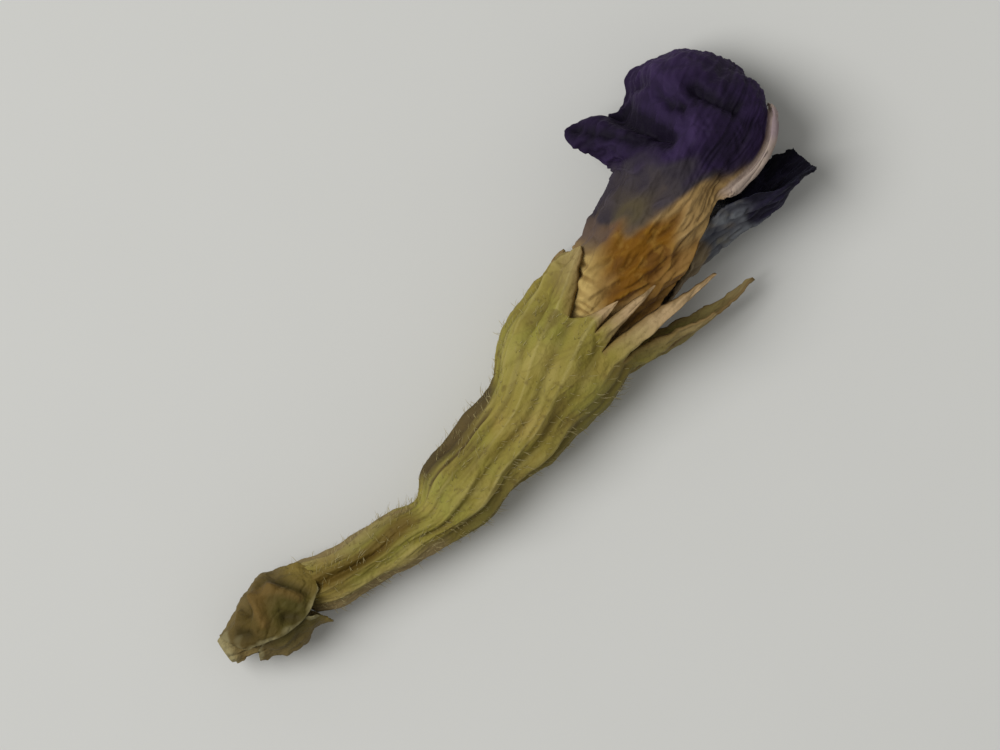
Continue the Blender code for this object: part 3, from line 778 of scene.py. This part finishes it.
def lobeGrid(mouth, lobe, inner):
    # rows of a lobe from the mouth to its tip, narrowing to a point
    c = calyx
    first, last, bend, tip = lobe
    columns = np.arange(first * c["fineColumns"], last * c["fineColumns"] + 1) % len(mouth)
    start = mouth[columns[len(columns) // 2]]
    t = np.linspace(0, 1, c["lobeRows"] + 1)[1:, None]
    centre = (1 - t) ** 2 * start + 2 * t * (1 - t) * np.array(bend) + t**2 * np.array(tip)
    width = (1 - t) ** 0.8 * (1 - c["tipWidth"]) + c["tipWidth"]
    rows = centre[:, None] + width[:, None] * (mouth[columns] - start)[None]
    radial = unit((rows - np.array(c["lobeAxis"])) * (0, 1, 1))
    side = np.linspace(-1, 1, len(columns))[None, :]
    cup = c["lobeCup"] * np.sin(np.pi * np.minimum(t * 1.3, 1)) * (side**2 - 0.3) * width
    ribWidth, ribHeight = c["midrib"]
    crepe = creped(rows, c["lobeCrepe"], 91 + first, (4, 1, 1)) + ribHeight * bump(side, 0, ribWidth)
    rows = rows + radial * (crepe * np.minimum(t * 6, 1) - cup)[..., None]
    if inner:
        rows = rows - radial * (c["wall"] + (c["tipWall"] - c["wall"]) * t)[..., None]
    return columns, rows, t, side, crepe


def paintCalyx(tree):
    return layers(tree, "83762b", (
        ("898836", mottle(tree, 3.2, 0.42, 0.62), 0.7),
        ("987f3e", mottle(tree, 1.8, 0.48, 0.7), 0.6),
        # painted highlight on the ribs' crests and nerves, painted shade in the valleys between ribs
        ("a3964b", painted(tree, "rib"), 0.3),
        ("564a17", painted(tree, "rib", 0.35, 0.0, 0.55)),
        ("b5a86c", painted(tree, "nerve", 0.3, 1.0, 0.35)),
        # painted highlight on the crests of creases, dents and lobe crepe, painted shade in their hollows
        ("a99b57", painted(tree, "reliefShading", 0.6, 1.0, 0.5)),
        ("5a4718", painted(tree, "reliefShading", 0.45, 0.0, 0.6)),
        # painted shade on the right flank
        ("5f5226", painted(tree, "shadedFlank", 0.0, 1.0, 0.6)),
        # painted highlight, pale tan, on the narrow part's sides
        ("87744e", painted(tree, "side", 0.3, 0.9, 0.9)),
        ("655219", painted(tree, "stripe", 0.2, 0.8, 0.9)),
        # the fold strip, darkened with painted shade, then mottled
        ("43351c", painted(tree, "fold", 0.15, 0.8, 0.92)),
        ("64522a", painted(tree, "fold", 0.15, 0.8), mottle(tree, 1.3, 0.48, 0.66, 3.0, (0.4, 1, 1)), 0.55),
        # painted shade along the crease beside the fold
        ("3f2b12", painted(tree, "foldLine", 0.2, 0.9, 0.8)),
        # painted shade down the long groove
        ("665019", painted(tree, "groove", 0.3, 0.95, 0.6)),
        ("a38c62", painted(tree, "lobe", 0.1, 0.9, 0.7)),
        ("ae926c", painted(tree, "spike", 0.05, 0.5, 0.9)),
        ("67502f", painted(tree, "spike", 0.05, 0.5), mottle(tree, 0.45, 0.5, 0.7, 3.0, (0.25, 1, 1)), 0.7),
        ("7d6238", painted(tree, "margin", 0.7, 1.0, 0.6)),
        ("5b4a1c", veinNet(tree, 0.75, 0.06, (0.4, 1, 1)), 0.2),
        ("54401a", mottle(tree, 0.35, 0.6, 0.72), 0.45),
    ))


def calyxSkin(tube, masks, mouth, inner):
    # points and masks of one skin: the tube, the middle of its base, then the lobes; and each lobe's grid
    c = calyx
    points = [tube.reshape(-1, 3), tube[0].mean(0)[None] - (0 if inner else c["dome"], 0, 0)]
    values = {key: [value.ravel(), value[0, :1]] for key, value in masks.items()}
    grids = []
    for number, lobe in enumerate(c["lobes"]):
        which, rows, t, side, crepe = lobeGrid(mouth, lobe, inner)
        points.append(rows.reshape(-1, 3))
        grids.append((which, rows.shape[:2]))
        own = {"lobe": t, "margin": np.abs(side), "reliefShading": 0.5 + crepe * 4}
        own["spike"] = t * (number in c["spikes"])
        for key in values:
            value = own.get(key, masks[key][-1, which])
            values[key].append(np.broadcast_to(value, rows.shape[:2]).ravel())
    return np.concatenate(points), {key: np.concatenate(value) for key, value in values.items()}, grids


def calyxFaces(grids):
    # the tube's rings, the fan on its base, and the lobes, each grown from its own columns of the mouth
    c = calyx
    columns = c["columns"] * c["fineColumns"]
    index = np.arange(c["rows"] * columns).reshape(c["rows"], columns)
    faces = ringQuads(index)
    faces += [[index.size, a, b] for a, b in zip(index[0].tolist(), np.roll(index[0], -1).tolist())]
    count = index.size + 1
    for which, shape in grids:
        grid = count + np.arange(math.prod(shape)).reshape(shape)
        faces += gridQuads(np.concatenate((index[-1, which][None], grid)))
        count += grid.size
    return faces


def makeCalyx():
    outerTube, innerTube = calyxTube(False), calyxTube(True)
    mouth = outerTube[0][-1]  # the lobes of both skins start here
    outer, outerMasks, grids = calyxSkin(*outerTube, mouth, False)
    inner, innerMasks, _ = calyxSkin(*innerTube, mouth, True)
    masks = {key: np.concatenate((outerMasks[key], innerMasks[key])) for key in outerMasks}
    points, faces = closedWall(outer, inner, calyxFaces(grids))
    # dry husk: papery and matt, straw and olive, browner on its nerves and in its folds, partly painted shade
    material = makeMaterial("driedCalyxHusk", paintCalyx, ((0.12, 0.012), (0.30, 0.02)), roughness=0.72,
                            gloss=0.35, net=(0.75, 0.006, (0.4, 1, 1)))
    addPiece("calyxHusk", points, faces, material, masks, "calyx")


# Hairs: short, pale and sparse, leaning towards the mouth

hairs = {
    "count": 1500,
    "length": (0.18, 0.42),
    "radius": 0.011,  # about as fine as one pixel shows
    "lean": 0.9,  # towards the mouth, against 1 straight out
    "scatter": 0.45,
    "sink": 0.03,
    "lowest": 0.4,  # none grow where the husk lies on the surface
}


def paintHair(tree):
    return layers(tree, "a89a66", (("c0b487", mottle(tree, 1.5, 0.42, 0.66), 0.7),))


def makeHairs():
    # each hair is a bent three-sided needle that stands in the husk
    h = hairs
    random = np.random.default_rng(17)
    tube, _ = calyxTube(False)
    outward = -normalsOf(tube, closed=True)
    row = random.integers(4, tube.shape[0] - 1, h["count"])
    column = random.integers(0, tube.shape[1], h["count"])
    root, way = tube[row, column], outward[row, column]
    aloft = root[:, 2] > h["lowest"]
    root, way = root[aloft], way[aloft]
    length = random.uniform(*h["length"], len(root))[:, None]
    scatter = random.normal(size=root.shape) * h["scatter"]
    start = root - way * h["sink"]
    tip = root + length * (way + h["lean"] * np.array((1, 0, 0)) + scatter) / math.hypot(1, h["lean"])
    middle = (start + tip) / 2 + 0.2 * length * way
    across = unit(np.cross(way, (1, 0, 0)))
    up = unit(np.cross(across, tip - start))
    turns = [2 * math.pi * k / 3 for k in range(3)]
    rings = [place + radius * (math.cos(a) * across + math.sin(a) * up)
             for place, radius in ((start, h["radius"]), (middle, 0.7 * h["radius"])) for a in turns]
    points = np.stack((*rings, tip), axis=1).reshape(-1, 3)
    # a hair's seven points: three at its root, three halfway, and its tip
    needle = [(2, 1, 0)]
    for k, j in ((0, 1), (1, 2), (2, 0)):
        needle += [(k, j, 3 + j, 3 + k), (3 + k, 3 + j, 6)]
    faces = [[7 * i + v for v in face] for i in range(len(root)) for face in needle]
    # single-celled hair: pale and dry, it catches light along the outline
    material = makeMaterial("driedHair", paintHair, (), roughness=0.6, gloss=0.4)
    addPiece("calyxHairs", points, faces, material, {}, None)


# Round pieces: stalk, stamens and pistil, each with stations (x, y, z, radius) along its middle line

pedicel = {
    "stations": (
        (-15.30, -0.55, 1.55, 0.42),
        (-15.00, -0.62, 1.55, 0.55),
        (-14.40, -0.98, 1.58, 0.46),
        (-13.60, -1.10, 1.62, 0.70),
        (-12.95, -1.14, 1.62, 0.78),
        (-12.35, -1.17, 1.60, 0.76),
    ),
    "ribs": 9,
    "ribHeight": 0.05,
    "lumps": (0.05, 0.9, 11),  # height, size, seed
    "crepe": ((0.04, 0.5), (0.02, 0.25)),
    "cutLength": 0.45,  # the pale cut end
    "endScale": 0.8,  # how far the last rings draw in
    "rows": 90,
    "sides": 90,
}

stamens = {
    "stations": (
        (-4.6, -2.95, 1.70, 0.30),
        (-2.0, -2.80, 1.52, 0.32),
        (0.5, -2.50, 1.62, 0.32),
        (3.0, -2.28, 2.05, 0.32),
        (6.0, -2.10, 2.20, 0.32),
        (7.9, -2.02, 2.43, 0.30),
        (8.15, -2.00, 2.47, 0.30),
    ),
    "rows": 120,
    "sides": 54,
    "anthers": 9,
    "antherSize": (0.50, 0.26),
    "antherRing": 1.05,  # the ring that they stand on, times the tube's radius
    "antherReach": (0.28, 0.09),  # past the tube's end, and further for every second one
}

pistil = {
    "stations": (
        (9.2, -2.00, 2.62, 0.20),
        (10.6, -2.05, 2.92, 0.22),
        (11.6, -2.10, 3.00, 0.26),
        (12.2, -2.15, 2.95, 0.36),
        (12.5, -2.15, 2.92, 0.26),
    ),
    "endScale": 0.6,
    "rows": 60,
    "sides": 40,
}


def rodGrid(stations, rows, sides):
    # rings across a smooth line through (x, y, z, radius) stations
    table = np.array(stations)
    order = np.arange(len(table))
    line = smoothCurve(order, table, np.linspace(0, order[-1], rows))
    way = unit(np.gradient(line[:, :3], axis=0))
    over = unit(np.cross((0, 0, 1), way))
    up = np.cross(way, over)
    angle = np.linspace(0, 2 * math.pi, sides, endpoint=False)
    radial = np.cos(angle)[None, :, None] * over[:, None] + np.sin(angle)[None, :, None] * up[:, None]
    return line, radial, angle


def rodMesh(line, radial, radius):
    # a closed rod with a radius for every point of its rings, and a point in the middle of each end
    index = np.arange(radius.size).reshape(radius.shape)
    right = np.roll(index, -1, axis=1)
    faces = ringQuads(index)
    faces += [[radius.size, a, b] for a, b in zip(index[0].tolist(), right[0].tolist())]
    faces += [[radius.size + 1, b, a] for a, b in zip(index[-1].tolist(), right[-1].tolist())]
    points = (line[:, None, :3] + radial * radius[..., None]).reshape(-1, 3)
    return np.concatenate((points, line[:1, :3], line[-1:, :3])), faces


def paintStalk(tree):
    return layers(tree, "7d6a3c", (
        ("988657", mottle(tree, 0.8, 0.42, 0.65), 0.8),
        # painted shade in the valleys between the ribs
        ("45320f", painted(tree, "rib", 0.4, 0.0, 0.7)),
        ("4f3a18", mottle(tree, 0.3, 0.55, 0.7), 0.6),
        ("958b63", painted(tree, "cutEnd", 0.2, 0.9, 0.8)),
    ))


def makePedicel():
    p = pedicel
    line, radial, angle = rodGrid(p["stations"], p["rows"], p["sides"])
    base = line[:, 3:4] + 0 * angle[None, :]
    points = line[:, None, :3] + radial * base[..., None]
    rib = np.abs(np.sin(angle * p["ribs"] / 2))[None, :] + 0 * base
    lumps = crumple(points, *p["lumps"]) + creped(points, p["crepe"], 12, (2, 1, 1))
    radius = base + lumps + p["ribHeight"] * (rib - 0.6)
    radius[[0, -1]] *= p["endScale"]
    points, faces = rodMesh(line, radial, radius)
    cutEnd = bump(line[:, 0] - line[0, 0], 0, p["cutLength"])[:, None] + 0 * base
    masks = {"rib": np.concatenate((rib.ravel(), (1, 0))), "cutEnd": np.concatenate((cutEnd.ravel(), (1, 0)))}
    # dried green stem: tough, ribbed and matt, paler where it was cut
    material = makeMaterial("driedStalk", paintStalk, ((0.10, 0.02),), roughness=0.78, gloss=0.35)
    addPiece("pedicelStub", points, faces, material, masks, "pedicel")


def eggs(places, lengthMm, widthMm, rings=8, sides=10):
    # small egg-shaped bodies that point along +X
    t = np.linspace(0, math.pi, rings)[:, None]
    a = np.linspace(0, 2 * math.pi, sides, endpoint=False)[None, :]
    r = widthMm / 2 * np.sin(t)
    egg = np.stack((-lengthMm / 2 * np.cos(t) + 0 * a, r * np.cos(a), r * np.sin(a)), -1).reshape(-1, 3)
    index = np.arange(rings * sides).reshape(rings, sides)
    faces = [face for k in range(len(places)) for face in ringQuads(index + k * index.size)]
    return np.concatenate([egg + np.array(place) for place in places]), faces


def paintStamens(tree):
    return layers(tree, "ab9a68", (
        ("8f7a45", mottle(tree, 0.6, 0.45, 0.7), 0.5),
        ("7a4e1a", painted(tree, "anther")),
    ))


def makeStamens():
    s = stamens
    line, radial, angle = rodGrid(s["stations"], s["rows"], s["sides"])
    radius = line[:, 3:4] * (0.92 + 0.08 * np.abs(np.cos(angle * s["anthers"] / 2))[None, :])
    points, faces = rodMesh(line, radial, radius)
    x, y, z, ring = s["stations"][-1]
    reach, extra = s["antherReach"]
    out = ring * s["antherRing"]
    places = []
    for k in range(s["anthers"]):
        a = 2 * math.pi * k / s["anthers"]
        places.append((x + reach + extra * (k % 2), y + out * math.cos(a), z + out * math.sin(a)))
    heads, headFaces = eggs(places, *s["antherSize"])
    faces += [[v + len(points) for v in face] for face in headFaces]
    masks = {"anther": np.concatenate((np.zeros(len(points)), np.ones(len(heads))))}
    # dried filaments: straw-coloured and dull, with rusty anthers
    material = makeMaterial("driedStamens", paintStamens, ((0.12, 0.01),), roughness=0.7, gloss=0.35)
    points = np.concatenate((points, heads))
    addPiece("stamenColumn", points, faces, material, masks, "stamen_column")


def paintPistil(tree):
    return layers(tree, "948c55", (("756a38", mottle(tree, 0.5, 0.45, 0.7), 0.6),))


def makePistil():
    s = pistil
    line, radial, angle = rodGrid(s["stations"], s["rows"], s["sides"])
    radius = line[:, 3:4] * (1 + 0.06 * np.cos(3 * angle))[None, :]
    radius[-1] *= s["endScale"]
    points, faces = rodMesh(line, radial, radius)
    # dried style: dull olive straw
    material = makeMaterial("driedPistil", paintPistil, ((0.12, 0.01),), roughness=0.7, gloss=0.35)
    addPiece("pistilStyle", points, faces, material, {}, "pistil")


# Bracteoles: two shrivelled scales that clasp the calyx base

bracteole = {
    # as the standard's rows; the left scale laps over the right one
    "left": (
        (-14.90, -0.72, 1.60, 0.72, 0.80, 110, -30),
        (-14.10, -0.90, 1.64, 1.00, 1.25, 118, -30),
        (-13.50, -0.98, 1.66, 1.10, 1.42, 124, -42),
        (-12.90, -1.02, 1.66, 1.52, 1.50, 124, -42),
        (-12.25, -1.10, 1.66, 1.58, 1.46, 120, -40),
        (-11.75, -1.24, 1.62, 1.46, 1.34, 114, -36),
        (-11.25, -1.42, 1.60, 1.34, 1.22, 104, -30),
        (-10.75, -1.58, 1.60, 1.22, 1.12, 94, -22),
    ),
    "right": (
        (-14.55, -0.95, 1.58, 0.66, 0.66, 232, 138),
        (-14.00, -1.10, 1.60, 0.90, 0.84, 266, 108),
        (-13.25, -1.26, 1.60, 1.40, 1.06, 280, 98),
        (-12.65, -1.32, 1.60, 1.22, 1.12, 280, 98),
        (-12.10, -1.36, 1.60, 1.06, 1.14, 268, 104),
        (-11.50, -1.42, 1.60, 1.26, 1.20, 250, 118),
    ),
    "crumple": (0.08, 1.3),  # height, size
    "crepe": ((0.040, 0.9), (0.018, 0.40), (0.008, 0.2)),
    # seen from above, as the standard's creases: a raised fold arched over a pit, and sunken spots
    "folds": ((-13.4, -0.9, -12.95, -0.15, 0.22, 0.20), (-12.95, -0.15, -12.3, -0.25, 0.22, 0.20),
              (-12.3, -0.25, -11.8, -1.2, 0.22, 0.18)),
    "hollows": ((-14.3, -0.5, -14.1, -0.75, 0.26, 0.22), (-12.7, -1.3, -12.4, -1.6, 0.26, 0.22),
                (-11.95, -0.15, -11.45, -1.3, 0.20, 0.15), (-13.6, 0.1, -13.5, -0.3, 0.20, 0.12)),
    "sideHeights": (1.8, 2.7),  # paler below the first, its own colour above the second
    "neckTones": (-12.0, -11.2),  # a painted highlight, paler, below the first; its own colour above the second
    "rounding": (0.25, 0.35),  # how far the corners draw in at the left and the right end
    "fray": (0.05, 2.2),  # how far the torn edges wander, and over what length
    "edgeThinning": 0.7,  # the share of the wall that is gone at its edges
    "rows": 130,
    "columns": 120,
    "face": 0.12,
    "thickness": 0.16,
}


def paintScale(tree):
    return layers(tree, "483908", (
        ("574613", mottle(tree, 1.5, 0.42, 0.66), 0.8),
        ("4a4714", mottle(tree, 2.2, 0.48, 0.66), 0.5),
        # painted highlight on the crumples' crests, painted shade in their hollows
        ("655024", painted(tree, "ridge", 0.55, 1.0, 0.5)),
        ("2c2208", painted(tree, "ridge", 0.40, 0.0, 0.65)),
        # painted highlight on its low sides
        ("77663e", painted(tree, "side"), 0.6),
        ("7c6a2c", painted(tree, "neck", 0.0, 1.0, 0.85)),
        # painted highlight along the raised fold
        ("6c5424", painted(tree, "fold", 0.2, 1.0, 0.8)),
        # painted shade in the sunken pits
        ("362c04", painted(tree, "shadedHollow", 0.3, 1.0, 0.8)),
        ("8f8660", painted(tree, "margin", 0.88, 1.0, 0.6)),
        ("443612", mottle(tree, 0.4, 0.55, 0.72), 0.3),
    ))


def makeBracteole(name, node, rows, seed, material):
    b = bracteole
    last = len(rows) - 1
    rowsAt, columnsAt = np.linspace(0, last, b["rows"]), np.linspace(0, 4, b["columns"])
    sheet = smoothSheet(arcs(rows, 5), rowsAt, columnsAt)
    leftEnd, rightEnd = 1 - 2 * rowsAt[:, None] / last, 2 * rowsAt[:, None] / last - 1
    across = np.abs(columnsAt / 2 - 1)[None, :]
    edge = np.maximum(across, leftEnd)
    drawLeft, drawRight = (reach * across**2 for reach in b["rounding"])
    sheet[..., 0] += drawLeft * smoothStep(0.2, 1.0, leftEnd)
    sheet[..., 0] -= drawRight * smoothStep(0.2, 1.0, rightEnd)
    wander, length = b["fray"]
    torn = (wander * np.maximum(edge, rightEnd) ** 4)[..., None]
    sheet = sheet + torn * np.stack([ripple(sheet, length, seed + k) for k in (40, 41, 42)], -1)
    coarse = crumple(sheet, *b["crumple"], seed, bend=0.3)
    crepe = creped(sheet, b["crepe"], seed + 30, (2.5, 1, 1))
    fold = creaseDepth(sheet, b["folds"])
    shadedHollow = creaseDepth(sheet, b["hollows"])
    outer = sheet + normalsOf(sheet) * (b["face"] + coarse + crepe + fold - shadedHollow)[..., None]
    thickness = b["thickness"] * (1 - b["edgeThinning"] * np.maximum(edge, rightEnd) ** 4)
    masks = {
        "ridge": np.clip(0.5 + (coarse + 2 * crepe) / 0.6, 0, 1),
        "fold": fold / 0.2,
        "shadedHollow": shadedHollow / 0.22,
        "margin": edge + 0.06 * ripple(sheet, 0.6, seed),
        "side": 1 - smoothStep(*b["sideHeights"], sheet[..., 2]),
        "neck": smoothStep(*b["neckTones"], sheet[..., 0] + 0.15 * ripple(sheet, 1.2, seed + 2)),
    }
    addSheet(name, outer, thickness[..., None], material, masks, node)


def makeBracteoles():
    # shrunken scale leaf: tougher and browner than the husk
    grain = ((0.12, 0.012), (0.3, 0.02))
    material = makeMaterial("driedScale", paintScale, grain, roughness=0.75, gloss=0.35)
    makeBracteole("bracteoleLeft", "bracteole_left", bracteole["left"], 20, material)
    makeBracteole("bracteoleRight", "bracteole_right", bracteole["right"], 21, material)


makeStandard()
makeWings()
makeKeel()
makeCalyx()
makeHairs()
makePedicel()
makeStamens()
makePistil()
makeBracteoles()
print("pieces made")


# Floor, light and camera

stage = {
    "floorSize": 0.6,
    "floorColour": "d3d3cf",
    "floorMottle": "cfcfcb",
    "lampSize": 0.35,
    "lampPower": 1.60,
    "lampPlace": (-0.16, 0.20, 0.38),
    "lampTurn": (-28, -22, 0),
    "roomColour": "f4f4f2",
    "roomStrength": 0.35,
    "roll": 47.4,  # the flower's length runs this many degrees above the picture's horizontal
    "distance": 0.40,
    "fieldWidth": 0.0385,  # across 1000 pixels
}


def makeFloor():
    bpy.ops.mesh.primitive_plane_add(size=stage["floorSize"])
    floor = bpy.context.object
    floor.name = "floor"
    # painted board: even pale grey with no gloss
    material = bpy.data.materials.new("matteTable")
    material.use_nodes = True
    tree = material.node_tree
    shader = tree.nodes["Principled BSDF"]
    shader.inputs["Roughness"].default_value = 0.8
    tint = layers(tree, stage["floorColour"], ((stage["floorMottle"], mottle(tree, 6.0, 0.4, 0.7), 0.15),))
    tree.links.new(tint, shader.inputs["Base Color"])
    floor.data.materials.append(material)


def makeLight():
    light = bpy.data.lights.new("softbox", "AREA")
    light.shape = "DISK"
    light.size = stage["lampSize"]
    light.energy = stage["lampPower"]
    lamp = bpy.data.objects.new("softbox", light)
    lamp.location = stage["lampPlace"]
    lamp.rotation_euler = [math.radians(degrees) for degrees in stage["lampTurn"]]
    bpy.context.scene.collection.objects.link(lamp)
    world = bpy.data.worlds.new("paleRoom")
    world.use_nodes = True
    background = world.node_tree.nodes["Background"]
    background.inputs["Color"].default_value = linear(stage["roomColour"])
    background.inputs["Strength"].default_value = stage["roomStrength"]
    bpy.context.scene.world = world
    bpy.context.scene.view_settings.view_transform = "Standard"


def makeCamera():
    lens = bpy.data.cameras.new("overhead")
    lens.lens = lens.sensor_width * stage["distance"] / stage["fieldWidth"]
    lens.clip_start = 0.01
    camera = bpy.data.objects.new("overhead", lens)
    camera.location = (0.0, 0.0, stage["distance"])
    camera.rotation_euler = (0.0, 0.0, math.radians(-stage["roll"]))
    bpy.context.scene.collection.objects.link(camera)
    bpy.context.scene.camera = camera


makeFloor()
makeLight()
makeCamera()
print("floor, light and camera made")
